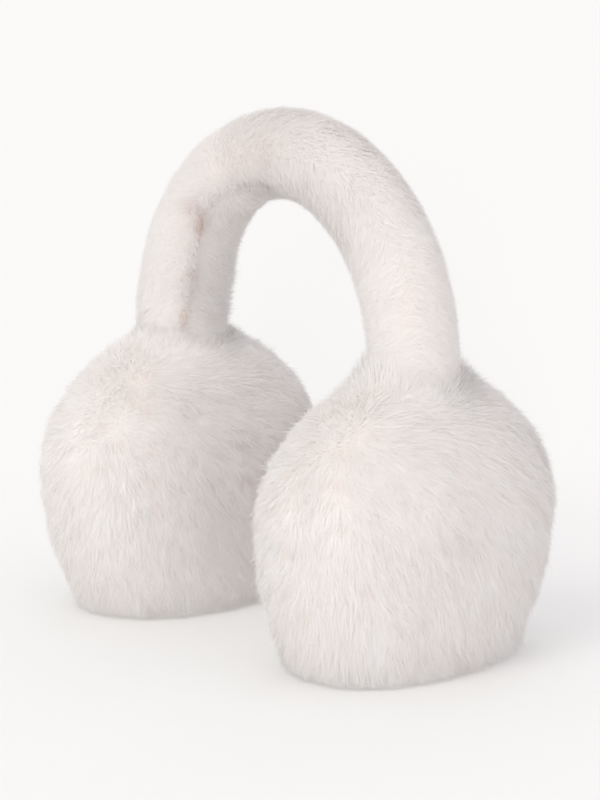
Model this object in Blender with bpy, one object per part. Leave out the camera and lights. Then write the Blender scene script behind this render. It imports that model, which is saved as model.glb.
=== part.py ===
"""Fur earmuffs: a furry headband arched over two deep fur ear cups that stand on flat feet.

Metres, Z up. X runs across the head and the wearer looks along -Y, so the left cup is at +X.
The origin is on the floor, midway between the cups.
"""
import math
import random

import bmesh
import bpy
from mathutils import Vector

# Ear cups: deep fur pads, measured to the roots of their locks
CUP_SPREAD = 0.0726           # middle of the head to the middle of a cup
CUP_HALF_THICKNESS = 0.0440   # across the head
CUP_HALF_LENGTH = 0.0690      # front to back
CUP_CENTRE_HEIGHT = 0.0663    # floor to the cup's widest level
CUP_RISE = 0.0587             # widest level to the top
CUP_LEAN = 0.030              # outward lean of a cup's top, per unit of height
FOOT_SINK = 0.0205            # how far the tapering underside would pass below its flat foot
CUP_PLAN_POWER = 2.2          # roundness seen from above: 2 is an ellipse, more is squarer
CUP_TOP_POWER = 1.76          # roundness of the upper half
CUP_UNDER_POWER = 2.24        # roundness of the lower half
CUP_FINENESS = 4              # subdivisions of the icosphere under the locks

# Headband: a padded fur tube along an arch with short straight legs
BAND_OUTSET = 0.0031          # how far the tube's centreline stands outside a cup's middle
BAND_HALF_SPAN = CUP_SPREAD + BAND_OUTSET
BAND_ARCH_HEIGHT = 0.0822     # top of the legs to the centreline's highest point
BAND_ARCH_POWER = 1.96        # 2 is an ellipse
LEG_LENGTH = 0.0184           # straight leg between a socket's floor and the arch
LEG_TUCK = 0.0035             # how far a leg leans in at its foot
BAND_HALF_WIDTH = 0.0162      # front to back, at the roots of the locks
BAND_HALF_DEPTH = 0.0166      # inner side to outer side
BAND_SIDES = 12
LEG_STEPS = 12
ARCH_STEPS = 240

# Sockets in the cups' tops, which hold the band's bare ends
SOCKET_DEPTH = 0.0156
SOCKET_CLEARANCE = 0.0004

# Locks of fur: one pointed lock on each facet, laid over along the nap
LOCK_SPACING = 0.0078
CUP_LOCK_LIFT = 0.0050
CUP_LOCK_REACH = 0.0092
BAND_LOCK_LIFT = 0.0047
BAND_LOCK_REACH = 0.0072
LOCK_LENGTH_VARIATION = 0.22
LOCK_TURN_VARIATION = 0.24    # radians
FLOOR_CLEARANCE = 0.0006      # lowest tip of a lock above the floor
FOOT_FLATNESS = 0.999         # how squarely a facet of the foot faces down
CUP_SEED = 11
BAND_SEED = 23
COLLAR_WIDTH = 0.0012         # bare ring on a cup round the band
COLLAR_CATCH = 0.0035         # points of a cup this near the collar's ring are brought onto it
COLLAR_REACH = 0.0120         # within this distance of the band a cup's locks stand up beside it
COLLAR_LOCK_HEIGHT = 0.0115
COLLAR_SPREAD = 0.0038        # how far the collar's locks lean away from the band
BAND_FUR_START = 0.0095       # height over a cup's top at which the band's locks begin
FIT_TOLERANCE = 0.0001

# Seam: the strip that joins the sleeve's edges along the band's inner side, in a bare parting
PARTING_WIDTH = 0.0062
SEAM_WIDTH = 0.0026
SEAM_THICKNESS = 0.0010
SEAM_CLEARANCE = 0.0003
# The sleeve is twisted from the right leg to past the top: share of the band's length from that leg's
# foot, and the seam's turn there from the middle of the inner side towards the front, in radians
SEAM_ANGLES = (
    (0.00, 0.62),
    (0.06, 0.62),
    (0.10, 0.56),
    (0.19, 0.54),
    (0.25, 0.70),
    (0.30, 0.92),
    (0.38, 0.94),
    (0.48, 0.72),
    (0.70, 0.00),
    (1.00, 0.00),
)

# Where the nap starts on each cup, as a direction from its middle, and where it flows on the band
CUP_CROWNS = {
    "ear_cup_left": Vector((0.31, -0.69, 0.66)),
    "ear_cup_right": Vector((0.36, -0.84, 0.40)),
}
BAND_NAP_DOWN = 0.55          # share of the band's nap that runs down towards the cups

CUP_SIDES = {"ear_cup_left": 1, "ear_cup_right": -1}


def fur_material(name, colour, roughness):
    """Matt fibre of one colour."""
    material = bpy.data.materials.new(name)
    material.use_nodes = True
    shader = material.node_tree.nodes["Principled BSDF"]
    shader.inputs["Base Color"].default_value = (*colour, 1.0)
    shader.inputs["Roughness"].default_value = roughness
    shader.inputs["Metallic"].default_value = 0.0
    return material


def add_object(name, bm, material):
    """One named object from a closed mesh, with its faces turned outwards."""
    bmesh.ops.recalc_face_normals(bm, faces=bm.faces[:])
    mesh = bpy.data.meshes.new(name)
    bm.to_mesh(mesh)
    bm.free()
    mesh.materials.append(material)
    thing = bpy.data.objects.new(name, mesh)
    bpy.context.scene.collection.objects.link(thing)
    return thing


def socket_floor():
    """Height of the band's lowest end."""
    return CUP_CENTRE_HEIGHT + CUP_RISE - SOCKET_DEPTH


def cup_radius(direction):
    """Distance from a cup's middle to its root surface: a superellipse in plan, another in height."""
    power = CUP_TOP_POWER if direction.z > 0 else CUP_UNDER_POWER
    half_height = CUP_RISE if direction.z > 0 else CUP_CENTRE_HEIGHT + FOOT_SINK
    plan = (abs(direction.x) / CUP_HALF_THICKNESS) ** CUP_PLAN_POWER
    plan += (abs(direction.y) / CUP_HALF_LENGTH) ** CUP_PLAN_POWER
    height = (abs(direction.z) / half_height) ** power
    return (plan ** (power / CUP_PLAN_POWER) + height) ** (-1.0 / power)


def cup_top(side, x, y):
    """Height of a cup's root surface over a point of the floor, or the widest level outside it."""
    upright_x = x - side * CUP_LEAN * CUP_RISE
    plan = (abs(upright_x - side * CUP_SPREAD) / CUP_HALF_THICKNESS) ** CUP_PLAN_POWER
    plan += (abs(y) / CUP_HALF_LENGTH) ** CUP_PLAN_POWER
    share = max(1.0 - plan ** (CUP_TOP_POWER / CUP_PLAN_POWER), 0.0)
    return CUP_CENTRE_HEIGHT + CUP_RISE * share ** (1.0 / CUP_TOP_POWER)


def arch_path():
    """Centreline of the band in the XZ plane: straight legs leaning in, joined by half a superellipse."""
    half = []
    foot = socket_floor()
    for i in range(LEG_STEPS):
        share = i / LEG_STEPS
        half.append((BAND_HALF_SPAN - LEG_TUCK * (1 - share) ** 2, foot + LEG_LENGTH * share))
    for i in range(ARCH_STEPS + 1):
        angle = 0.5 * math.pi * i / ARCH_STEPS
        x = BAND_HALF_SPAN * max(math.cos(angle), 0.0) ** (2 / BAND_ARCH_POWER)
        z = BAND_ARCH_HEIGHT * math.sin(angle) ** (2 / BAND_ARCH_POWER)
        half.append((x, foot + LEG_LENGTH + z))
    points = [Vector((-x, 0, z)) for x, z in half]
    points += [Vector((x, 0, z)) for x, z in reversed(half[:-1])]
    return points


def even_stations(points, spacing):
    """Points at an equal spacing along a path, each with the path's direction there."""
    lengths = [0.0]
    for a, b in zip(points, points[1:]):
        lengths.append(lengths[-1] + (b - a).length)
    count = max(8, 2 * round(lengths[-1] / spacing / 2))
    places = []
    k = 0
    for i in range(count + 1):
        target = lengths[-1] * i / count
        while k < len(points) - 2 and lengths[k + 1] < target:
            k += 1
        share = (target - lengths[k]) / (lengths[k + 1] - lengths[k])
        places.append(points[k].lerp(points[k + 1], share))
    stations = []
    for i, place in enumerate(places):
        before = places[max(i - 1, 0)]
        after = places[min(i + 1, count)]
        along = (after - before).normalized()
        if i in (0, count):
            along = Vector((0, 0, 1 if i == 0 else -1))
        stations.append((place, along))
    return stations


def seam_turn(share):
    """The seam's turn at a share of the band's length, straight between the table's rows."""
    for (low, first), (high, second) in zip(SEAM_ANGLES, SEAM_ANGLES[1:]):
        if share <= high:
            break
    return first + (second - first) * (share - low) / (high - low)


def band_stations():
    """Rows of the band, from the right cup's socket over the head to the left cup's: place, direction, turn."""
    stations = even_stations(arch_path(), LOCK_SPACING * math.sqrt(3) / 2)
    last = len(stations) - 1
    return [(place, along, seam_turn(i / last)) for i, (place, along) in enumerate(stations)]


def way_round(station, angle):
    """Unit direction from the tube's middle at an angle round it, from the inner side to the back."""
    inner = Vector((0, 1, 0)).cross(station[1]).normalized()
    return inner * math.cos(angle) + Vector((0, math.sin(angle), 0))


def ring_angles():
    """Angles round the tube from the seam: one flat facet as wide as the parting, the rest even."""
    first = math.asin(0.5 * PARTING_WIDTH / BAND_HALF_WIDTH)
    step = (2 * math.pi - 2 * first) / (BAND_SIDES - 1)
    return [first + step * i for i in range(BAND_SIDES)]


def ring_points(station, growth):
    """One row round the tube, grown outwards by a clearance."""
    row = []
    for angle in ring_angles():
        way = way_round(station, angle - station[2])
        level = way - Vector((0, way.y, 0))
        width = Vector((0, way.y * (BAND_HALF_WIDTH + growth), 0))
        row.append(station[0] + level * (BAND_HALF_DEPTH + growth) + width)
    return row


def tube_mesh(rows):
    """Closed tube through rows of points, with flat ends and every quad split into two facets."""
    bm = bmesh.new()
    rings = [[bm.verts.new(point) for point in row] for row in rows]
    sides = len(rings[0])
    for i, (low, high) in enumerate(zip(rings, rings[1:])):
        for j in range(sides):
            k = (j + 1) % sides
            if (i + j) % 2:
                bm.faces.new((low[j], low[k], high[k]))
                bm.faces.new((low[j], high[k], high[j]))
            else:
                bm.faces.new((low[j], low[k], high[j]))
                bm.faces.new((low[k], high[k], high[j]))
    bm.faces.new(rings[0])
    bm.faces.new(rings[-1])
    bmesh.ops.recalc_face_normals(bm, faces=bm.faces[:])
    return bm


def raise_locks(bm, faces, lock_offset, seed):
    """Pokes each facet and moves its new point out and along the nap, which makes one pointed lock.

    A lock that would reach the floor is shortened to stay over it.
    """
    chance = random.Random(seed)
    details = [(face.calc_center_median(), face.normal.copy()) for face in faces]
    poked = bmesh.ops.poke(bm, faces=faces)
    for (centre, normal), tip in zip(details, poked["verts"]):
        length = 1 + LOCK_LENGTH_VARIATION * chance.uniform(-1, 1)
        turn = LOCK_TURN_VARIATION * chance.uniform(-1, 1)
        tip.co = centre + lock_offset(centre, normal, turn) * length
        if tip.co.z < FLOOR_CLEARANCE:
            share = (centre.z - FLOOR_CLEARANCE) / (centre.z - tip.co.z)
            tip.co = centre + (tip.co - centre) * max(share, 0.0)


def lay_over(nap, normal, turn):
    """The nap's direction along the surface, turned a little about the normal; its length is 0 to 1."""
    along = nap - normal * nap.dot(normal)
    sideways = normal.cross(along)
    return along * math.cos(turn) + sideways * math.sin(turn)


def make_cup(name, material):
    """A fur pad with a flat foot, locks that flow away from its crown, and a socket in its top."""
    side = CUP_SIDES[name]
    middle = Vector((side * CUP_SPREAD, 0, CUP_CENTRE_HEIGHT))
    crown = CUP_CROWNS[name].normalized()
    leg_x = side * (BAND_HALF_SPAN - 0.5 * LEG_TUCK)
    leg_radius = max(BAND_HALF_WIDTH, BAND_HALF_DEPTH)
    collar_radius = leg_radius + COLLAR_WIDTH

    def from_leg(point):
        """Level offset of a point from the middle of the band's leg."""
        return Vector((point.x - leg_x, point.y, 0))

    def fit_to_collar(vert):
        """Brings a point of the top that lies near the collar's ring onto it."""
        offset = from_leg(vert.co)
        if vert.co.z > CUP_CENTRE_HEIGHT and abs(offset.length - collar_radius) < COLLAR_CATCH:
            place = offset.normalized() * collar_radius
            x = leg_x + place.x
            vert.co = Vector((x, place.y, cup_top(side, x, place.y)))

    bm = bmesh.new()
    bmesh.ops.create_icosphere(bm, subdivisions=CUP_FINENESS, radius=1.0)
    for vert in bm.verts:
        direction = vert.co.normalized()
        vert.co = middle + direction * cup_radius(direction)
        vert.co.z = max(vert.co.z, 0.0)
        vert.co.x += side * CUP_LEAN * (vert.co.z - CUP_CENTRE_HEIGHT)
        fit_to_collar(vert)
    bm.normal_update()

    def bare(face):
        """The foot, and the facets that the socket cuts."""
        if face.normal.z < -FOOT_FLATNESS:
            return True
        if face.calc_center_median().z < CUP_CENTRE_HEIGHT:
            return False
        reach = min(from_leg(vert.co).length for vert in face.verts)
        return reach < collar_radius - FIT_TOLERANCE

    def lock_offset(centre, normal, turn):
        free = normal * CUP_LOCK_LIFT + lay_over(-crown, normal, turn) * CUP_LOCK_REACH
        gap = from_leg(centre).length - leg_radius
        if centre.z < CUP_CENTRE_HEIGHT or gap > COLLAR_REACH:
            return free
        share = max(gap, 0.0) / COLLAR_REACH
        upright = from_leg(centre).normalized() * COLLAR_SPREAD
        upright.z = COLLAR_LOCK_HEIGHT
        return free * share + upright * (1 - share) / (1 + LOCK_LENGTH_VARIATION)

    faces = [face for face in bm.faces if not bare(face)]
    faces.sort(key=lambda face: face.index)
    raise_locks(bm, faces, lock_offset, seed=CUP_SEED)
    return add_object(name, bm, material)


def cut_socket(cup):
    """Boolean cut of the band's end section, grown by the clearance, into a cup's top."""
    side = CUP_SIDES[cup.name]
    stations = [station for station in band_stations() if station[0].x * side > 0]
    if side > 0:
        stations.reverse()
    top = CUP_CENTRE_HEIGHT + CUP_RISE + CUP_LOCK_LIFT + CUP_LOCK_REACH
    rows = [ring_points(station, SOCKET_CLEARANCE) for station in stations if station[0].z < top]
    floor_row = [point - Vector((0, 0, SOCKET_CLEARANCE)) for point in rows[0]]
    bm = tube_mesh([floor_row] + rows)
    cutter = add_object(cup.name + "_socket_cutter", bm, cup.data.materials[0])
    cutter.hide_render = True
    cutter.display_type = "WIRE"
    cut = cup.modifiers.new("socket", "BOOLEAN")
    cut.object = cutter
    cut.operation = "DIFFERENCE"
    cut.solver = "EXACT"


def make_headband(material):
    """The arched fur tube, bare in the sockets and along its parting."""
    stations = band_stations()
    bm = tube_mesh([ring_points(station, 0.0) for station in stations])

    def fur_start(point):
        """Height at which the band's locks may begin, over the cup below."""
        side = math.copysign(1, point.x)
        return cup_top(side, point.x, point.y) + BAND_FUR_START

    def nearest(point):
        """The row of the tube that a point lies at."""
        return min(stations, key=lambda station: (station[0] - point).length)

    def bare(face):
        """The parting, the flat ends, and the stretch at and in the cups."""
        if len(face.verts) != 3:
            return True
        centre = face.calc_center_median()
        station = nearest(centre)
        offset = centre - station[0]
        offset -= station[1] * offset.dot(station[1])
        in_parting = offset.angle(way_round(station, -station[2])) < ring_angles()[0]
        return in_parting or centre.z < fur_start(centre)

    def lock_offset(centre, normal, turn):
        station = nearest(centre)
        away = -way_round(station, -station[2])
        down = station[1] * math.copysign(1, centre.x)
        laid = lay_over(away + down * BAND_NAP_DOWN, normal, turn)
        offset = normal * BAND_LOCK_LIFT + laid * BAND_LOCK_REACH
        room = centre.z - fur_start(centre)
        if offset.z * (1 + LOCK_LENGTH_VARIATION) < -room:
            offset.z = -room / (1 + LOCK_LENGTH_VARIATION)
        return offset

    faces = [face for face in bm.faces if not bare(face)]
    faces.sort(key=lambda face: face.index)
    raise_locks(bm, faces, lock_offset, seed=BAND_SEED)
    return add_object("headband", bm, material)


def make_seam(material):
    """A flat strip that follows the parting's facet from one cup's fur to the other's."""
    start = CUP_CENTRE_HEIGHT + CUP_RISE
    rows = []
    for station in band_stations():
        if station[0].z < start:
            continue
        ring = ring_points(station, 0.0)
        middle = 0.5 * (ring[0] + ring[-1])
        across = (ring[0] - ring[-1]).normalized()
        out = way_round(station, -station[2])
        out = (out - across * out.dot(across)).normalized()
        near = middle + out * SEAM_CLEARANCE
        far = near + out * SEAM_THICKNESS
        half = across * 0.5 * SEAM_WIDTH
        rows.append([near - half, near + half, far + half, far - half])
    return add_object("band_seam", tube_mesh(rows), material)


def centre_over_origin(things):
    """Slides every mesh level until the whole is centred on the origin; the nap makes it uneven."""
    corners = [vert.co for thing in things for vert in thing.data.vertices]
    shift = Vector((0, 0, 0))
    for axis in (0, 1):
        places = [corner[axis] for corner in corners]
        shift[axis] = -0.5 * (min(places) + max(places))
    for thing in bpy.context.scene.objects:
        for vert in thing.data.vertices:
            vert.co += shift


for old in list(bpy.data.objects):
    bpy.data.objects.remove(old, do_unlink=True)

ivory_fur = fur_material("ivory_fur", (0.86, 0.82, 0.79), 0.95)
tan_backing = fur_material("tan_backing", (0.62, 0.50, 0.38), 0.85)

cups = [make_cup(name, ivory_fur) for name in CUP_SIDES]
for ear_cup in cups:
    cut_socket(ear_cup)
headband = make_headband(ivory_fur)
band_seam = make_seam(tan_backing)
centre_over_origin([headband, band_seam] + cups)
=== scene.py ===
"""Fur earmuffs: two deep fur ear cups under an arched fur headband with a seam along its inner side.

The cups stand on the floor. X runs across the head, the wearer looks along -Y, and the left cup is at +X.
"""

import bpy
import numpy as np
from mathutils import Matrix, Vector


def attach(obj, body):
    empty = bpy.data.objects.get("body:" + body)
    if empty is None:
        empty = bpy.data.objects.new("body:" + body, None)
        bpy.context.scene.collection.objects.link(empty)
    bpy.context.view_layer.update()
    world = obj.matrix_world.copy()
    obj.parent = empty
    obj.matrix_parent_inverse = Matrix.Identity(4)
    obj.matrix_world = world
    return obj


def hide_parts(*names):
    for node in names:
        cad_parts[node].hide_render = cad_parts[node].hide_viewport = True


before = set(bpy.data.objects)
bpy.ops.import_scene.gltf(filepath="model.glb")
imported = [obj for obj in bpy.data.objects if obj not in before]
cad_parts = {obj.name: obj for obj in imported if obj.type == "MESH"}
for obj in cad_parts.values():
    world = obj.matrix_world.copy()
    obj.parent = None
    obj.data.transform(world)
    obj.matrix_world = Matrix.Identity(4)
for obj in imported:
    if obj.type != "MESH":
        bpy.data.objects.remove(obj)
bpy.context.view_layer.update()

# Camera: low and well back, looking down a little past the left cup to the right one behind it.
# The band's two flat ends stand level in the cups, so the middle between them is the earmuffs' middle.
FLAT_WITHIN = 0.0001
CAMERA_PLACE = np.array((0.8265, -0.7589, 0.3229))
CAMERA_AIM = np.array((0.0046, 0.0015, 0.1021))

band_points = np.empty(3 * len(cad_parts["headband"].data.vertices))
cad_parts["headband"].data.vertices.foreach_get("co", band_points)
band_points = band_points.reshape(-1, 3)
end_points = band_points[band_points[:, 2] < band_points[:, 2].min() + FLAT_WITHIN]
middle = np.append(0.5 * (end_points[:, :2].min(axis=0) + end_points[:, :2].max(axis=0)), 0)

lens = bpy.data.cameras.new("camera")
lens.lens = 117.2
lens.sensor_width = 36.0
lens.clip_start = 0.05
lens.clip_end = 200.0
camera = bpy.data.objects.new("camera", lens)
camera.location = Vector(CAMERA_PLACE + middle)
camera.rotation_euler = Vector(CAMERA_AIM - CAMERA_PLACE).to_track_quat("-Z", "Y").to_euler()
bpy.context.scene.collection.objects.link(camera)
bpy.context.scene.camera = camera

# Ear cup pads: a stuffed oval of knitted backing in each cup, flat where it stands.
# The fur is rooted in it, so only its shade shows, deep between the tufts.
CUPS = {"ear_cup_left": 1, "ear_cup_right": -1}
# A cup's middle: its place across the head, its height, and its lean outwards for each step up
CUP_SPREAD = 0.0726
CUP_HEIGHT = 0.0663
CUP_LEAN = 0.031
# The pad's half sizes across the head and front to back, and how far it reaches above and below the middle
PAD_HALF = np.array((0.0437, 0.0688))
PAD_RISE = 0.0585
PAD_DROP = 0.0855
# The powers of its curves, from above and in its upper and lower halves: 2 is round, and more is squarer
PLAN_POWER = 2.22
TOP_POWER = 1.76
UNDER_POWER = 2.24
PAD_FLOOR = 0.0016
PAD_AROUND = 72
PAD_TALL = 48
UNDERFUR_BEIGE = (0.93, 0.88, 0.85, 1)
UNDERFUR_IVORY = (0.96, 0.94, 0.925, 1)


def unit(vectors):
    """Vectors of length 1: v / |v|."""
    return vectors / np.maximum(np.linalg.norm(vectors, axis=-1, keepdims=True), 1e-12)


def cup_reach(ways):
    """Distance from a cup's middle to its pad along unit vectors (x, y, z).

    r = (m**(p/q) + |z/c|**p)**(-1/p) with m = |x/a|**q + |y/b|**q, where p and c differ above and below.
    """
    power = np.where(ways[..., 2] > 0, TOP_POWER, UNDER_POWER)
    tall = np.where(ways[..., 2] > 0, PAD_RISE, PAD_DROP)
    plan = (np.abs(ways[..., :2] / PAD_HALF) ** PLAN_POWER).sum(-1)
    return (plan ** (power / PLAN_POWER) + np.abs(ways[..., 2] / tall) ** power) ** (-1 / power)


def cup_skin(ways, side):
    """Points of a pad along unit vectors from its middle, leaned outwards and flattened at the floor.

    x = side * (spread + lean * z) + r*wx, y = r*wy, z = max(height + r*wz, floor).
    """
    points = ways * cup_reach(ways)[..., None]
    points[..., 0] += side * (CUP_SPREAD + CUP_LEAN * points[..., 2]) + middle[0]
    points[..., 1] += middle[1]
    points[..., 2] = np.maximum(points[..., 2] + CUP_HEIGHT, PAD_FLOOR)
    return points


def cup_normals(ways):
    """Outward unit normals of a pad: the gradient of m**(p/q) + |z/c|**p, at length 1."""
    at = ways * cup_reach(ways)[..., None]
    power = np.where(at[..., 2] > 0, TOP_POWER, UNDER_POWER)[..., None]
    tall = np.where(at[..., 2] > 0, PAD_RISE, PAD_DROP)[..., None]
    plan = (np.abs(at[..., :2] / PAD_HALF) ** PLAN_POWER).sum(-1, keepdims=True)
    level = plan ** (power / PLAN_POWER - 1) * np.abs(at[..., :2] / PAD_HALF) ** (PLAN_POWER - 1) / PAD_HALF
    upright = np.abs(at[..., 2:] / tall) ** (power - 1) / tall
    return unit(np.concatenate((level, upright), -1) * np.sign(at))


def ways_at(turn, tilt):
    """Unit vectors at a turn round the upright axis and a tilt from straight down, both as shares of 1.

    w = (sin(pi t) cos(2 pi u), sin(pi t) sin(2 pi u), -cos(pi t)).
    """
    round_angle = 2 * np.pi * turn
    tilt_angle = np.pi * tilt
    return np.stack((np.sin(tilt_angle) * np.cos(round_angle), np.sin(tilt_angle) * np.sin(round_angle),
                     -np.cos(tilt_angle)), -1)


def closed_skin(name, rings, first, last):
    """A closed smooth mesh from rings of points, with a fan to one point at each end.

    Its faces look outwards.
    """
    count, around = rings.shape[:2]
    points = np.concatenate((rings.reshape(-1, 3), [first, last]))
    index = np.arange(count * around).reshape(count, around)
    after = np.roll(index, -1, axis=1)
    quads = np.stack((index[:-1], after[:-1], after[1:], index[1:]), -1).reshape(-1, 4)
    low_fan = np.stack((after[0], index[0], np.full(around, count * around)), -1)
    high_fan = np.stack((index[-1], after[-1], np.full(around, count * around + 1)), -1)
    mesh = bpy.data.meshes.new(name)
    mesh.from_pydata(points.tolist(), [], quads.tolist() + low_fan.tolist() + high_fan.tolist())
    mesh.shade_smooth()
    thing = bpy.data.objects.new(name, mesh)
    bpy.context.scene.collection.objects.link(thing)
    return thing


class Shade:
    """An output in a material's nodes. + and * between it and numbers or other outputs add Math nodes."""

    def __init__(self, tree, output):
        self.tree = tree
        self.output = output

    def node(self, kind, inputs, output=0, **settings):
        """A further node of any kind, with its inputs linked or set and one of its outputs."""
        made = self.tree.nodes.new(kind)
        for key, value in settings.items():
            setattr(made, key, value)
        for key, value in inputs.items():
            if isinstance(value, Shade):
                self.tree.links.new(value.output, made.inputs[key])
            else:
                made.inputs[key].default_value = value
        return Shade(self.tree, made.outputs[output])

    def math(self, operation, first, second):
        """A Math node on two values."""
        return self.node("ShaderNodeMath", {0: first, 1: second}, operation=operation)

    def __add__(self, other):
        return self.math("ADD", self, other)

    def __radd__(self, other):
        return self.math("ADD", other, self)

    def __mul__(self, other):
        return self.math("MULTIPLY", self, other)

    def __rmul__(self, other):
        return self.math("MULTIPLY", other, self)

    def blend(self, low, high):
        """The colour low where this is 0 and high where it is 1."""
        return self.node("ShaderNodeMix", {0: self, 6: low, 7: high}, output=2, data_type="RGBA")

    def noise(self, scale, detail=2.0):
        """Noise of about 0 to 1 over the point that this is."""
        return self.node("ShaderNodeTexNoise", {"Vector": self, "Scale": scale, "Detail": detail})


def new_material(name, roughness):
    """A material with a matt Principled shader, as (material, shader, a start for its nodes)."""
    material = bpy.data.materials.new(name)
    material.use_nodes = True
    tree = material.node_tree
    shader = tree.nodes["Principled BSDF"]
    shader.inputs["Roughness"].default_value = roughness
    shader.inputs["Specular IOR Level"].default_value = 0.15
    return material, shader, Shade(tree, None)


def underfur_material():
    """Matted down at the roots: beige to pink-ivory in soft blotches, with a fine ruffle."""
    material, shader, start = new_material("underfur", 1.0)
    place = start.node("ShaderNodeTexCoord", {}, output="Object")
    blotch = place.noise(140.0)
    fine = place.noise(1400.0, 3.0)
    colour = blotch.blend(UNDERFUR_BEIGE, UNDERFUR_IVORY)
    start.tree.links.new(colour.output, shader.inputs["Base Color"])
    ruffle = start.node("ShaderNodeBump", {"Height": fine, "Strength": 0.6, "Distance": 0.001})
    start.tree.links.new(ruffle.output, shader.inputs["Normal"])
    return material


underfur = underfur_material()

for cup, side in CUPS.items():
    turn, tilt = np.meshgrid(np.arange(PAD_AROUND) / PAD_AROUND, np.arange(1, PAD_TALL) / PAD_TALL)
    rings = cup_skin(ways_at(turn, tilt), side)
    low = cup_skin(np.array((0.0, 0.0, -1.0)), side)
    high = cup_skin(np.array((0.0, 0.0, 1.0)), side)
    pad = closed_skin(cup + "_pad", rings, low, high)
    pad.data.materials.append(underfur)
    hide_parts(cup)
    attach(pad, "root")

# Ear cup fur: long fine hair over short dense wool, both rooted in the pad. It flows away from a crown on the
# front of each cup and lies over in tufts. Low down it falls straight, and round the band's leg it stands up.

# How far a hair's tip stands off the skin, and how far it lies along it
PILE = 0.0038
RUN = 0.0060
# Layers of hair: strands on a cup and on the band, levels along a strand,
# shares of the pile and of the run, and a strand's width
LAYERS = {
    "wool": (150000, 95000, (0.0, 1.0), 0.80, 0.75, 0.00028),
    "hair": (185000, 122000, (0.2, 1.0), 1.03, 1.10, 0.00024),
}
# More places are drawn than strands are wanted, because some fall where no hair grows.
# They are spread by area over a grid of points, this many round the cup and from its foot to its top.
SPARE_PLACES = 1.25
CUP_GRID = (97, 65)
# The way from each cup's middle to its crown
CROWNS = {
    "ear_cup_left": unit(np.array((0.10, -0.78, 0.75))),
    "ear_cup_right": unit(np.array((0.30, -0.80, 0.50))),
}
# The pull on the hair: how far it sways, how far it droops, and the further droop under a height
NAP_SWAY = 0.22
DROOP = 0.40
LOW_DROOP = 1.2
LOW_DROOP_FROM = 0.095
LOW_DROOP_OVER = 0.070
# Where the pull is weaker than this, near the crown, hairs point more at random
CALM_BELOW = 0.8
LOOSE = 0.20
LOOSE_WHERE_CALM = 1.5
# Under the first height hair follows the pad's curve less and less,
# and under the second it turns straight down and a little out
HANG_HEIGHT = 0.030
FALL_HEIGHT = 0.020
FALL_OUT = 0.8
# The lowest place of a hair, how softly it bends there, and how high hair tips end over it
FLOOR_GAP = 0.0004
FLOOR_BEND = 0.0005
TIP_HEIGHTS = (0.0004, 0.0034)
SHORTEST_RUN = 0.0010
# The band's leg in the cup's top: its place across, its radius, and the room that hair tips leave round it
LEG_X = 0.0735
LEG_RADIUS = 0.0160
LEG_RUFF = 0.0042
COLLAR_REACH = 0.0085
COLLAR_RISE = {"ear_cup_left": 0.0090, "ear_cup_right": 0.0035}
# Tufts and spots are longer towards the crown than across, by 1 over this share
STRETCH = 0.45
# How far tips move to the middles of large and of small tufts
GATHER_WIDE = 0.20
GATHER_FINE = 0.32
# Single hairs: how much their heights differ, the limits of that, and the share of them that stands out
STRAY_SPREAD = 0.17
STRAY_LIMITS = (0.6, 1.35)
STRAY_SHARE = 0.08
STRAY_RISE = 1.4
# A strand's course from root to tip: the powers of the level for its lie, its tuft and its own bend,
# and of 1 less the level for its height
LIE_POWER = 1.35
HEIGHT_POWER = 1.8
TUFT_POWER = 1.6
BEND_POWER = 2
# The darkest tint of hair without painted shade, the height over the floor under which hair takes the painted
# shadow of the floor, and how much of it
UNSHADED_TINT = 0.55
FLOOR_SHADE_HEIGHT = 0.0050
FLOOR_SHADE_TINT = 0.4
# Hair's colours at the tip and at the root, pale to rosy by tint, with the root's deeper tone painted shade
# in the pile; the dark brown of painted shade; and lit from behind
TIP_PALE = (0.999, 0.999, 0.999)
TIP_ROSY = (0.951, 0.901, 0.876)
ROOT_PALE = (0.996, 0.988, 0.976)
ROOT_ROSY = (0.869, 0.773, 0.736)
SHADE_BROWN = (0.32, 0.12, 0.055, 1)
LIT_THROUGH = (0.983, 0.966, 0.956)
LIT_SHARE = 0.45


def waves(seed, wavelength, count=24, spread=0.25):
    """Wave vectors k = 2 pi w / length and phases of cosine waves near one wavelength, in random directions.

    Each length is wavelength * exp(spread * n), n a normal draw. The third value is wavelength / 2 pi,
    which a slope is scaled by.
    """
    chance = np.random.default_rng(seed)
    ways = unit(chance.normal(size=(count, 3)))
    lengths = wavelength * np.exp(spread * chance.normal(size=(count, 1)))
    return 2 * np.pi * ways / lengths, chance.uniform(0, 2 * np.pi, count), wavelength / (2 * np.pi)


def ripple(points, wave):
    """Smooth noise with a mean square of 1: n = sqrt(2/N) * sum(cos(k.p + a))."""
    return np.sqrt(2 / len(wave[1])) * np.cos(points @ wave[0].T + wave[1]).sum(-1)


def ripple_slope(points, wave):
    """Slope of the noise, scaled by s = wavelength / 2 pi: g = -s * sqrt(2/N) * sum(k sin(k.p + a))."""
    sines = np.sin(points @ wave[0].T + wave[1])
    return -np.sqrt(2 / len(wave[1])) * (sines @ wave[0]) * wave[2]


def gathered(points, normals):
    """How far hair tips move along the skin towards the middles of their tufts, large and small.

    The pull is the sum of share * s * g for both sizes of tuft, with s and g as in ripple_slope, less its
    part along the normal.
    """
    pull = GATHER_WIDE * tuft_wide[2] * ripple_slope(points, tuft_wide)
    pull += GATHER_FINE * tuft_fine[2] * ripple_slope(points, tuft_fine)
    return pull - normals * (pull * normals).sum(1)[:, None]


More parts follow.
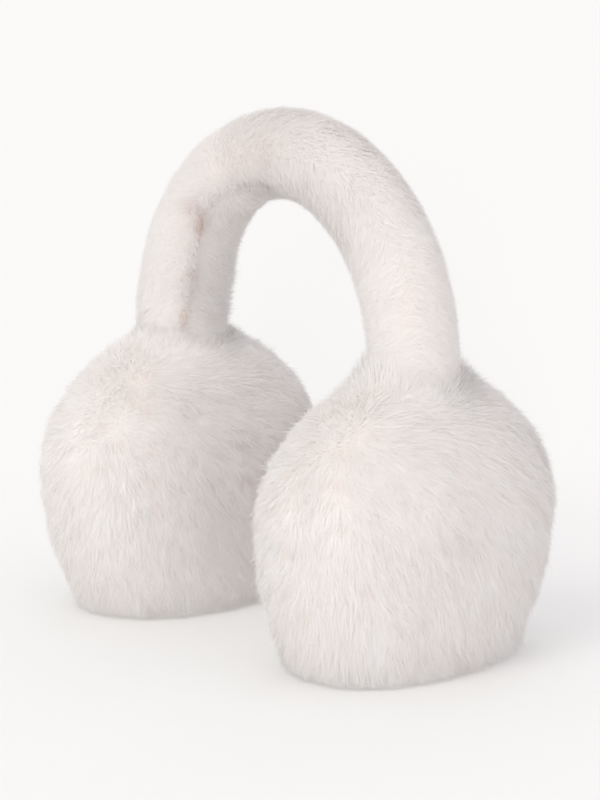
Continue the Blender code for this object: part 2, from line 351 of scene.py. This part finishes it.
def scatter(grid, count, chance):
    """Places on a grid of points, even by area, as shares (down, across) of the grid from 0 to 1."""
    diagonal = grid[1:, 1:] - grid[:-1, :-1]
    other = grid[1:, :-1] - grid[:-1, 1:]
    area = np.linalg.norm(np.cross(diagonal, other), axis=-1)
    total = np.cumsum(area.ravel())
    cell = np.searchsorted(total, chance.random(count) * total[-1])
    down, across = np.unravel_index(np.minimum(cell, area.size - 1), area.shape)
    return (down + chance.random(count)) / area.shape[0], (across + chance.random(count)) / area.shape[1]


def stray(count, chance):
    """Heights of single hairs, as shares of the pile's: near 1, with a few that stand out."""
    height = (1 + STRAY_SPREAD * chance.normal(size=count)).clip(*STRAY_LIMITS)
    return height * np.where(chance.random(count) < STRAY_SHARE, STRAY_RISE, 1)


def turned(vectors, axes, angles):
    """Vectors turned about unit axes square to them: v cos(a) + (n x v) sin(a)."""
    return vectors * np.cos(angles)[:, None] + np.cross(axes, vectors) * np.sin(angles)[:, None]


def over_floor(points):
    """Points bent up from the floor: z = gap + b log(1 + exp((z - gap)/b))."""
    points = points.copy()
    points[..., 2] = FLOOR_GAP + FLOOR_BEND * np.logaddexp(0, (points[..., 2] - FLOOR_GAP) / FLOOR_BEND)
    return points


def ribbons(name, levels, centres, normals, width, tint, material, chance, rough=1.0):
    """One mesh of flat tapering strands, each a ribbon rolled at random about its own line.

    centres holds a row of points for each level along the strands. Every level has two corners, at
    c +- w/2 (b cos(r) + e sin(r)), where b is square to the strand and the skin and e is square to both;
    the last level is one point. rough scales the roll r. The shading leans to the skin's normal, less
    where rough is larger. The map OFBake holds the strand's tint across and its root to tip upwards.
    """
    count = centres.shape[1]
    along = unit(np.gradient(centres, axis=0))
    across = unit(np.cross(along, normals))
    upward = np.cross(across, along)
    roll = rough * chance.uniform(-1.0, 1.0, count)[:, None]
    half = 0.5 * width * chance.uniform(0.8, 1.2, count)[:, None]
    offset = half * (across * np.cos(roll) + upward * np.sin(roll))
    facing = unit(upward * np.cos(0.5 * roll) - across * np.sin(0.5 * roll) + 2.2 / rough * normals)
    last = len(levels) - 1
    corners = np.stack((centres[:last] - offset[:last], centres[:last] + offset[:last]), 1)
    points = np.concatenate((corners.reshape(2 * last, count, 3), centres[last:])).transpose(1, 0, 2)
    facings = np.concatenate((np.repeat(facing[:last], 2, axis=0), facing[last:])).transpose(1, 0, 2)
    size = 2 * last + 1
    strip = []
    for corner in range(0, 2 * last - 2, 2):
        strip += [(corner, corner + 1, corner + 3), (corner, corner + 3, corner + 2)]
    strip.append((2 * last - 2, 2 * last - 1, 2 * last))
    faces = (np.array(strip)[None] + size * np.arange(count)[:, None, None]).reshape(-1, 3)
    # The strand's own spot on the map keeps a small distance from the map's edges
    high = np.repeat(levels[:last], 2).tolist() + [levels[last]]
    sideways = np.tile((-1.0, 1.0), last).tolist() + [0.0]
    uv = np.empty((count, size, 2))
    uv[..., 0] = tint[:, None] * 0.996 + 0.002 + 0.0006 * np.array(sideways)
    uv[..., 1] = np.array(high) * 0.998 + 0.001
    corner_uv = uv.reshape(-1, 2)[faces.ravel()].astype(np.float32)
    mesh = bpy.data.meshes.new(name)
    mesh.vertices.add(points.size // 3)
    mesh.vertices.foreach_set("co", points.astype(np.float32).ravel())
    mesh.loops.add(faces.size)
    mesh.loops.foreach_set("vertex_index", faces.astype(np.int32).ravel())
    mesh.polygons.add(len(faces))
    mesh.polygons.foreach_set("loop_start", np.arange(0, faces.size, 3, dtype=np.int32))
    mesh.uv_layers.new(name="OFBake").data.foreach_set("uv", corner_uv.ravel())
    mesh.update(calc_edges=True)
    mesh.shade_smooth()
    mesh.normals_split_custom_set_from_vertices(facings.reshape(-1, 3))
    mesh.materials.append(material)
    thing = bpy.data.objects.new(name, mesh)
    bpy.context.scene.collection.objects.link(thing)
    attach(thing, "root")
    return thing


def toned(colour, share):
    """A colour scaled by a share, with an alpha of 1."""
    return (*(part * share for part in colour), 1)


def fur_material(name, share):
    """Ivory hair with a pink-beige cast that differs from strand to strand, and a deeper tone towards the
    root that is painted shade in the pile.

    Part of the light passes through the hair. share scales how much light it returns.
    """
    material, shader, start = new_material(name, 0.85)
    uv = start.node("ShaderNodeUVMap", {}, uv_map="OFBake")
    tint = uv.node("ShaderNodeSeparateXYZ", {0: uv}, output=0)
    reach = uv.node("ShaderNodeSeparateXYZ", {0: uv}, output=1)
    pale = tint.blend(toned(TIP_PALE, share), toned(TIP_ROSY, share))
    deep = tint.blend(toned(ROOT_PALE, share), toned(ROOT_ROSY, share))
    rise = reach.node("ShaderNodeMapRange", {"Value": reach, "From Min": 0.05, "From Max": 0.65},
                      interpolation_type="SMOOTHSTEP")
    # Tints past the limit blend towards the dark brown of painted shade
    painted_shade = tint.node("ShaderNodeMapRange", {"Value": tint, "From Min": UNSHADED_TINT, "From Max": 1.0})
    colour = painted_shade.blend(rise.blend(deep, pale), SHADE_BROWN)
    start.tree.links.new(colour.output, shader.inputs["Base Color"])
    through = start.node("ShaderNodeBsdfTranslucent", {"Color": toned(LIT_THROUGH, share)})
    returned = Shade(start.tree, shader.outputs[0])
    both = start.node("ShaderNodeMixShader", {0: LIT_SHARE, 1: returned, 2: through})
    start.tree.links.new(both.output, start.tree.nodes["Material Output"].inputs["Surface"])
    return material


fur = fur_material("ivory_hair", 1.0)

# Slow changes over the fur, each from a seed and a wavelength: its lie, its depth, its tufts, tint and spots
nap_wide = waves(101, 0.032)
nap_fine = waves(102, 0.010)
pile_wide = waves(103, 0.016)
pile_fine = waves(104, 0.0055)
tuft_wide = waves(105, 0.0110)
tuft_fine = waves(106, 0.0042)
tint_wide = waves(107, 0.030)
tint_fine = waves(108, 0.0060)
spot_wave = waves(109, 0.0130)

for cup, side in CUPS.items():
    crown = CROWNS[cup]
    leg = np.array((side * LEG_X + middle[0], middle[1]))
    turn, tilt = np.meshgrid(np.linspace(0, 1, CUP_GRID[0]), np.linspace(0, 1, CUP_GRID[1]))
    grid = cup_skin(ways_at(turn, tilt), side)
    for layer, (count, _, levels, height, reach, width) in LAYERS.items():
        # Roots: even over the pad, but for its flat foot and the place of the band's leg
        chance = np.random.default_rng(sum(map(ord, cup + layer)))
        down, across = scatter(grid, int(count * SPARE_PLACES), chance)
        ways = ways_at(across, down)
        roots = cup_skin(ways, side)
        normals = cup_normals(ways)
        from_leg = np.linalg.norm(roots[:, :2] - leg, axis=1)
        above_foot = roots[:, 2] > PAD_FLOOR + FLAT_WITHIN
        kept = np.flatnonzero(above_foot & ((from_leg > LEG_RADIUS) | (roots[:, 2] < CUP_HEIGHT)))[:count]
        roots, normals, from_leg = roots[kept], normals[kept], from_leg[kept]
        count = len(kept)

        # Lie: away from the crown and down, with a slow sway and a turn of each hair's own
        nap = NAP_SWAY * ripple_slope(roots, nap_wide) - crown
        nap[:, 2] -= DROOP + LOW_DROOP * np.clip((LOW_DROOP_FROM - roots[:, 2]) / LOW_DROOP_OVER, 0, 1)
        nap -= normals * (nap * normals).sum(1)[:, None]
        strength = np.linalg.norm(nap, axis=1)
        calm = np.clip(1 - strength / CALM_BELOW, 0, 1)
        turn_by = 0.12 * ripple(roots, nap_wide) + 0.08 * ripple(roots, nap_fine)
        turn_by += (LOOSE + LOOSE_WHERE_CALM * calm) * chance.normal(size=count)
        nap = turned(unit(nap), normals, turn_by)
        fall = np.clip(1 - roots[:, 2] / FALL_HEIGHT, 0, 1)[:, None]
        nap = unit(nap + fall * (FALL_OUT * normals * (1, 1, 0) - (0, 0, 1.0)))

        # Depth: uneven over the cup, lower in small spots, and raised in a collar round the band's leg
        collar = np.exp(-((from_leg - LEG_RADIUS) / COLLAR_REACH) ** 2) * (roots[:, 2] > CUP_HEIGHT)
        stretched = roots - (1 - STRETCH) * (roots @ crown)[:, None] * crown
        tufts = ripple(stretched, tuft_wide)
        spots = np.clip(ripple(stretched, spot_wave) - 1, 0, 1)
        uneven = 1 + 0.07 * ripple(roots, pile_wide) + 0.05 * ripple(roots, pile_fine) + 0.05 * tufts
        pile = PILE * height * uneven * stray(count, chance) * (1 + 0.12 * calm) * (1 - 0.2 * spots)
        rise = COLLAR_RISE[cup] * height * collar * chance.uniform(0.7, 1.1, count)
        run = RUN * reach * np.clip(0.25 + 0.9 * strength, 0.6, 1.0) * chance.uniform(0.75, 1.2, count)
        run *= 1 - 0.85 * collar
        gather = gathered(stretched, normals)
        sweep = 0.10 * run * chance.normal(size=count)
        sideways = np.cross(normals, nap)
        hangs = np.clip(1 - roots[:, 2] / HANG_HEIGHT, 0, 1)
        wrap = 0.8 - 0.75 * np.clip(1.3 * hangs, 0, 1)[:, None]
        room = np.maximum(roots[:, 2] - chance.uniform(*TIP_HEIGHTS, count), SHORTEST_RUN)
        run = np.minimum(run, room)
        pile *= 1 + 0.35 * hangs * (chance.random(count) - 0.3)

        # Strands: each level is carried along the pad, raised off it, gathered, and kept off leg and floor
        centres = []
        for level in levels:
            moved = roots + nap * (run * level ** LIE_POWER)[:, None]
            from_middle = moved - (side * CUP_SPREAD + middle[0], middle[1], CUP_HEIGHT)
            from_middle[:, 0] -= side * CUP_LEAN * from_middle[:, 2]
            there = unit(from_middle)
            outward = unit(wrap * cup_normals(there) + (1 - wrap) * normals)
            point = wrap * cup_skin(there, side) + (1 - wrap) * moved
            point += outward * (pile * (1 - (1 - level) ** HEIGHT_POWER))[:, None]
            point += gather * level ** TUFT_POWER + sideways * (sweep * level ** BEND_POWER)[:, None]
            point[:, 2] += rise * level
            offset = point[:, :2] - leg
            distance = np.linalg.norm(offset, axis=1)
            needed = LEG_RADIUS + LEG_RUFF * level
            pushed = np.where(point[:, 2] > CUP_HEIGHT, np.maximum(needed - distance, 0), 0)
            point[:, :2] += offset / distance[:, None] * pushed[:, None]
            centres.append(over_floor(point))

        # Tint: slow changes, painted shade that is rosier between the tufts and in the spots where the fur
        # lies lower, and a painted shadow on hairs beside the floor
        tint = 0.22 + 0.06 * ripple(roots, tint_wide) + 0.035 * ripple(roots, tint_fine) - 0.04 * tufts
        tint += 0.07 * chance.normal(size=count) + 0.04 * calm + 0.30 * spots
        # Hairs rooted near the floor are painted dark brown: the painted shadow where the cup stands on the
        # floor
        lowest = np.exp(-(roots[:, 2] / FLOOR_SHADE_HEIGHT) ** 2)
        painted_shade = chance.random(count) < 0.55 + 0.25 * ripple(roots, pile_wide)
        tint = tint.clip(0, UNSHADED_TINT) + FLOOR_SHADE_TINT * lowest * painted_shade
        off_leg = (roots - (*leg, 0)) * (1, 1, 0)
        facing = unit(normals + 2.5 * collar[:, None] * unit(off_leg))
        ribbons(cup + "_" + layer, np.array(levels), np.array(centres), facing, width,
                tint.clip(0, 1), fur, chance, rough=1.2)

# Headband pad: the padded sleeve of knitted backing on the band. It stands in the tops of the cups,
# and it is twisted from the right leg to past the top, where its seam comes round to the front.

# The band's half width from leg to leg, and the heights of its ends, of the arch's foot and of its top
BAND_SPAN = 0.0757
BAND_FOOT = 0.1094
BAND_KNEE = 0.1278
BAND_TOP = 0.2100
# The arch's power, where 2 is round, and how far the legs come in towards their ends
BAND_POWER = 1.96
LEG_TUCK = 0.0035
# The sleeve's half sizes, front to back and towards the arch's inside, and its points along and round it
SLEEVE_WIDTH = 0.0158
SLEEVE_DEPTH = 0.0162
SLEEVE_ALONG = 145
SLEEVE_AROUND = 64
# The twist: share of the band's length from the right cup, and the seam's turn towards the front, in radians
SEAM_SHARES = (0.00, 0.06, 0.10, 0.19, 0.25, 0.30, 0.38, 0.48, 0.70, 1.00)
SEAM_TURNS = (0.62, 0.62, 0.56, 0.54, 0.70, 0.92, 0.94, 0.72, 0.00, 0.00)


def band_line(leg_points=60, arch_points=400, count=401):
    """Points of the band's centreline, evenly spaced from the right cup over the head to the left.

    Legs: x = span - tuck (1 - t)**2. Arch: x = span cos(a)**(2/n), z = knee + (top - knee) sin(a)**(2/n).
    """
    share = np.linspace(0, 1, leg_points, endpoint=False)
    angle = np.linspace(0, np.pi / 2, arch_points)
    x = np.concatenate((BAND_SPAN - LEG_TUCK * (1 - share) ** 2,
                        BAND_SPAN * np.maximum(np.cos(angle), 0) ** (2 / BAND_POWER)))
    z = np.concatenate((BAND_FOOT + (BAND_KNEE - BAND_FOOT) * share,
                        BAND_KNEE + (BAND_TOP - BAND_KNEE) * np.sin(angle) ** (2 / BAND_POWER)))
    x = np.concatenate((-x, x[-2::-1]))
    z = np.concatenate((z, z[-2::-1]))
    length = np.concatenate(([0], np.cumsum(np.hypot(np.diff(x), np.diff(z)))))
    even = np.linspace(0, length[-1], count)
    return even, np.interp(even, length, x), np.interp(even, length, z)


line_length, line_x, line_z = band_line()
line_angle = np.unwrap(np.arctan2(np.gradient(line_z), np.gradient(line_x)))
BAND_LENGTH = line_length[-1]


def band_skin(travel, angle):
    """Points and unit normals of the sleeve at a length along it and an angle round it from its inner side.

    p = c + i d cos(a) + y w sin(a), with c the centreline, i the way to the arch's inner side,
    and d and w the half sizes. The normal is that of the section's ellipse.
    """
    x = np.interp(travel, line_length, line_x)
    z = np.interp(travel, line_length, line_z)
    heading = np.interp(travel, line_length, line_angle)
    inner = np.stack((np.sin(heading), np.zeros_like(heading), -np.cos(heading)), -1)
    inner = inner * np.cos(angle)[..., None]
    front = np.array((0.0, 1.0, 0.0)) * np.sin(angle)[..., None]
    centre = np.stack((x + middle[0], np.zeros_like(x) + middle[1], z), -1)
    points = centre + inner * SLEEVE_DEPTH + front * SLEEVE_WIDTH
    return points, unit(inner / SLEEVE_DEPTH + front / SLEEVE_WIDTH)


travel, angle = np.meshgrid(np.linspace(0, BAND_LENGTH, SLEEVE_ALONG),
                            2 * np.pi * np.arange(SLEEVE_AROUND) / SLEEVE_AROUND, indexing="ij")
rings, _ = band_skin(travel, angle)
sleeve = closed_skin("headband_pad", rings, rings[0].mean(0), rings[-1].mean(0))
sleeve.data.materials.append(underfur)
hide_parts("headband")
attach(sleeve, "root")

# Headband fur: hair that parts along a line, flows round both sides and down to the cups. The parting runs
# up the seam on the right leg, past a ruffled whorl, and on over the front to the outside of the left leg.
# The seam shows in three stretches of the right leg. Further on it lies hidden under the fur.

# As on the cups: how far a hair's tip stands off and lies along the skin, and the points along and round it
BAND_PILE = 0.0038
BAND_RUN = 0.0064
BAND_GRID = (141, 49)
# The parting's half width where it is open, and the height where the fur starts
PARTING = 0.0004
FUR_START = 0.1195
# The whorl's place, its half length, its half turn round the band, and the length over which the flow
# changes from one cup to the other
WHORL = 0.38
WHORL_HALF = 0.013
WHORL_TURN = 1.2
FLOW_CHANGE = 0.015
# The stretches where the seam shows, and how softly each ends, in shares of the band's length
OPEN_STRETCHES = ((0.058, 0.125), (0.162, 0.192), (0.250, 0.290))
OPEN_EDGE = 0.012
# The parting past the seam: share of the band's length from the right cup, and its turn from the inner
# side towards the front. Up to SEAM_END the parting keeps to the seam, or PART_SHIFT in front of it where
# the seam hides.
PART_SHIFT = 0.30
PART_SHARES = (0.00, 0.30, 0.33, 0.38, 0.48, 0.57, 0.65, 0.80, 1.00)
PART_TURNS = (0.00, 0.00, 1.25, 1.38, 1.55, 1.94, 2.35, 2.42, 2.40)
SEAM_END = 0.33
# How far the hair leans along the band for each step round it, on the parting's front and on its other side
LEAN_SHARES = (0.00, 0.30, 0.42, 0.66, 0.80, 1.00)
LEAN_FRONT = (0.75, 0.75, 2.50, 2.50, 0.60, 0.30)
LEAN_OTHER = (0.35, 0.35, 2.50, 2.50, 0.40, -0.10)
# The far side from the parting, where the two flows meet: its start and its breadth, in radians
RIM_START = 1.9
RIM_BREADTH = 1.1
# Distances from the seam or the parting within which hair crosses over, stands up, lies lower and is painted
# darker as shade, and the share of the band's length up to which that shade is painted
CROSS_WIDTH = 0.003
UPRIGHT_WIDTH = 0.0026
LOW_WIDTH = 0.003
SEAM_SHADE_WIDTH = 0.0010
SEAM_SHADE_END = 0.30
# The rosier fur inside the arch where the seam runs out of sight, partly the fur's own tone and partly
# painted shade on the side that faces down: its middle and half length
ROSY_SHADE_SHARE = 0.31
ROSY_SHADE_HALF = 0.07
# The deeper fur low on the right leg: its middle, which is also its half length, as a share of the band's
# length, and its turn round the band
DEEP_SHARE = 0.13
DEEP_TURN = 0.8

# The band's hair is the cups' hair made a little darker all over: painted shade on the band
band_hair = fur_material("band_hair", 0.965)

for layer, (_, count, levels, height, reach, width) in LAYERS.items():
    # Roots: even over the sleeve above the cups, but for the open stretches of the seam
    chance = np.random.default_rng(sum(map(ord, "headband" + layer)))
    travel, angle = np.meshgrid(np.linspace(0, BAND_LENGTH, BAND_GRID[0]),
                                np.linspace(-np.pi, np.pi, BAND_GRID[1]), indexing="ij")
    grid, _ = band_skin(travel, angle)
    down, across = scatter(grid, int(count * SPARE_PLACES), chance)
    travel = down * BAND_LENGTH
    angle = (2 * across - 1) * np.pi
    roots, normals = band_skin(travel, angle)
    seam_angle = -np.interp(down, SEAM_SHARES, SEAM_TURNS)
    from_seam = np.abs(angle - seam_angle) * SLEEVE_WIDTH
    opening = np.zeros(len(down))
    for start, end in OPEN_STRETCHES:
        opening = np.maximum(opening, np.clip(np.minimum(down - start, end - down) / OPEN_EDGE, 0, 1))
    opening = opening * np.clip(0.7 + 0.5 * ripple(roots, tuft_wide), 0, 1)
    grows = from_seam > PARTING * opening * chance.uniform(0.3, 1.2, len(down))
    kept = np.flatnonzero(grows & (roots[:, 2] > FUR_START))[:count]
    travel, angle, roots, normals, down, from_seam, opening = (
        values[kept] for values in (travel, angle, roots, normals, down, from_seam, opening))
    count = len(kept)

    # Lie: away from the parting, and down to the cup on each side of the whorl, with some hairs that cross
    beside_seam = np.interp(down, SEAM_SHARES, SEAM_TURNS) + PART_SHIFT * (1 - opening)
    past_seam = np.interp(down, PART_SHARES, PART_TURNS)
    part_angle = -np.maximum(past_seam, np.where(down < SEAM_END, beside_seam, 0))
    from_part = np.remainder(angle - part_angle + np.pi, 2 * np.pi) - np.pi
    beyond = (down - WHORL) * BAND_LENGTH
    whorl = np.exp(-(beyond / WHORL_HALF) ** 2) * np.exp(-(from_part / WHORL_TURN) ** 2)
    to_cup = np.tanh(beyond / FLOW_CHANGE)
    crossing = 0.5 * np.exp(-(from_part * SLEEVE_WIDTH / CROSS_WIDTH) ** 2) * (1 - 0.35 * opening)
    round_way = np.sign(from_part) * np.where(chance.random(count) < crossing, -1, 1)
    near_rim = np.clip((np.abs(from_part) - RIM_START) / RIM_BREADTH, 0, 1)
    lean_front = np.interp(down, LEAN_SHARES, LEAN_FRONT)
    lean_other = np.interp(down, LEAN_SHARES, LEAN_OTHER)
    lean = np.where(from_part < 0, lean_front, lean_other)
    way = np.arctan2((lean + 0.5 * near_rim) * to_cup, round_way * (1 - 0.8 * near_rim))
    way += 0.14 * ripple(roots, nap_wide) + 0.06 * ripple(roots, nap_fine)
    upright = np.exp(-(from_seam / UPRIGHT_WIDTH) ** 2)
    way += (0.15 + 0.8 * whorl + 1.0 * upright) * chance.normal(size=count)
    flow_travel, flow_angle = np.sin(way), np.cos(way)

    # Depth: even and short, lower beside the open seam and deeper low on the right leg
    tufts = ripple(roots, tuft_wide)
    low = 1 - 0.15 * np.exp(-(from_seam / LOW_WIDTH) ** 2) * opening
    uneven = 1 + 0.03 * ripple(roots, pile_wide) + 0.02 * ripple(roots, pile_fine) + 0.02 * tufts
    pile = BAND_PILE * height * low * uneven * (0.5 + 0.5 * stray(count, chance))
    deeper = 1.2 * np.exp(-((down - DEEP_SHARE) / DEEP_SHARE) ** 2)
    pile *= 1 + deeper * np.clip(np.cos(angle - DEEP_TURN), 0, 1)
    run = BAND_RUN * reach * (1 - 0.4 * near_rim) * (1 - 0.55 * upright) * chance.uniform(0.75, 1.2, count)
    gather = 0.25 * gathered(roots, normals)
    sweep = 0.10 * chance.normal(size=count)

    # Strands: each level is carried along and round the sleeve, raised off it and gathered
    centres = []
    for level in levels:
        far = run * level ** LIE_POWER
        bend = sweep * level
        go_travel = far * (flow_travel + flow_angle * bend)
        go_angle = far * (flow_angle - flow_travel * bend) / (SLEEVE_WIDTH + 0.6 * pile)
        wrapped, out = band_skin(np.clip(travel + go_travel, 0, BAND_LENGTH), angle + 0.85 * go_angle)
        outward = unit(0.85 * out + 0.15 * normals)
        point = wrapped + outward * (pile * (1 - (1 - level) ** HEIGHT_POWER))[:, None]
        point += gather * level ** TUFT_POWER
        centres.append(point)

    # Tint: slow changes, painted shade between the tufts, rosier in the parting, painted shade beside the
    # seam, and a rosier tone where the seam runs out of sight
    tint = 0.26 + 0.05 * ripple(roots, tint_wide) + 0.03 * ripple(roots, tint_fine) - 0.02 * tufts
    tint += 0.05 * chance.normal(size=count) + 0.07 * np.exp(-(from_part / 0.3) ** 2)
    # Hair beside the open seam is painted darker: painted shade in the parting
    painted_shade = 0.45 * np.exp(-(from_seam / SEAM_SHADE_WIDTH) ** 2) * (0.35 + 0.65 * opening)
    tint = tint.clip(0, UNSHADED_TINT) + painted_shade * (down < SEAM_SHADE_END)
    # Inside the arch the rosier tone is partly the fur's own and partly painted shade on the side that faces
    # down
    tint += 0.22 * np.exp(-((down - ROSY_SHADE_SHARE) / ROSY_SHADE_HALF) ** 2) * np.clip(0.4 + np.cos(angle), 0, 1)
    ribbons("headband_" + layer, np.array(levels), np.array(centres), normals, width,
            tint.clip(0, 1), band_hair, chance, rough=0.65)

# Band seam: the tan knitted backing where the sleeve's edges are sewn together, seen through the parting.
# It keeps the strip's own solid and takes a ribbed, slightly uneven finish.
SEAM_DARK = (0.48, 0.38, 0.33, 1)
SEAM_LIGHT = (0.72, 0.62, 0.57, 1)


def seam_material():
    """Tan backing with darker threads across it and blotches along it."""
    material, shader, start = new_material("sewn_backing", 0.9)
    place = start.node("ShaderNodeTexCoord", {}, output="Object")
    blotch = place.noise(160.0)
    thread = place.noise(2600.0)
    colour = (0.7 * blotch + 0.3 * thread).blend(SEAM_DARK, SEAM_LIGHT)
    start.tree.links.new(colour.output, shader.inputs["Base Color"])
    ribs = start.node("ShaderNodeBump", {"Height": thread, "Strength": 0.7, "Distance": 0.0003})
    start.tree.links.new(ribs.output, shader.inputs["Normal"])
    return material


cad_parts["band_seam"].material_slots[0].material = seam_material()

# Floor and light: a pale seamless floor that glows a little, so that it is as bright as the backdrop.
# A soft key comes from the upper front left and a fill from beside the camera. A weak light reaches the back,
# and a pale surround lights all sides. Light bounces often between the hairs, so many bounces are counted.
FLOOR_HALF = 60.0
FLOOR_GREY = (0.68, 0.68, 0.68, 1)
FLOOR_GLOW = (0.50, 0.495, 0.485, 1)
# Each light: its strength, its width in radians, its colour and the way that it shines
LIGHTS = {
    "key_light": (0.82, 0.5, (0.98, 1.0, 0.88), (-0.10, 0.71, -0.67)),
    "fill_light": (1.13, 0.12, (1.0, 0.98, 0.98), (-0.695, 0.714, -0.120)),
    "back_light": (0.3, 1.0, (1.0, 1.0, 1.0), (0.60, -0.62, -0.50)),
}
SURROUND = (1.0, 0.975, 0.995, 1)

floor_mesh = bpy.data.meshes.new("floor")
floor_mesh.from_pydata([(-FLOOR_HALF, -FLOOR_HALF, 0), (FLOOR_HALF, -FLOOR_HALF, 0),
                        (FLOOR_HALF, FLOOR_HALF, 0), (-FLOOR_HALF, FLOOR_HALF, 0)], [], [(0, 1, 2, 3)])
floor = bpy.data.objects.new("floor", floor_mesh)
bpy.context.scene.collection.objects.link(floor)
floor_material, floor_shader, _ = new_material("floor", 1.0)
floor_shader.inputs["Base Color"].default_value = FLOOR_GREY
floor_shader.inputs["Emission Color"].default_value = FLOOR_GLOW
floor_shader.inputs["Emission Strength"].default_value = 0.43
floor_shader.inputs["Specular IOR Level"].default_value = 0.0
floor_mesh.materials.append(floor_material)

for name, (strength, spread, colour, shines) in LIGHTS.items():
    light = bpy.data.lights.new(name, "SUN")
    light.energy = strength
    light.angle = spread
    light.color = colour
    lamp = bpy.data.objects.new(name, light)
    lamp.rotation_euler = Vector(shines).to_track_quat("-Z", "Y").to_euler()
    bpy.context.scene.collection.objects.link(lamp)

world = bpy.data.worlds.new("surround")
world.use_nodes = True
world.node_tree.nodes["Background"].inputs["Color"].default_value = SURROUND
world.node_tree.nodes["Background"].inputs["Strength"].default_value = 0.84
bpy.context.scene.world = world
bpy.context.scene.view_settings.view_transform = "Standard"
bpy.context.scene.cycles.max_bounces = 32
bpy.context.scene.cycles.diffuse_bounces = 28
bpy.context.scene.cycles.transmission_bounces = 28
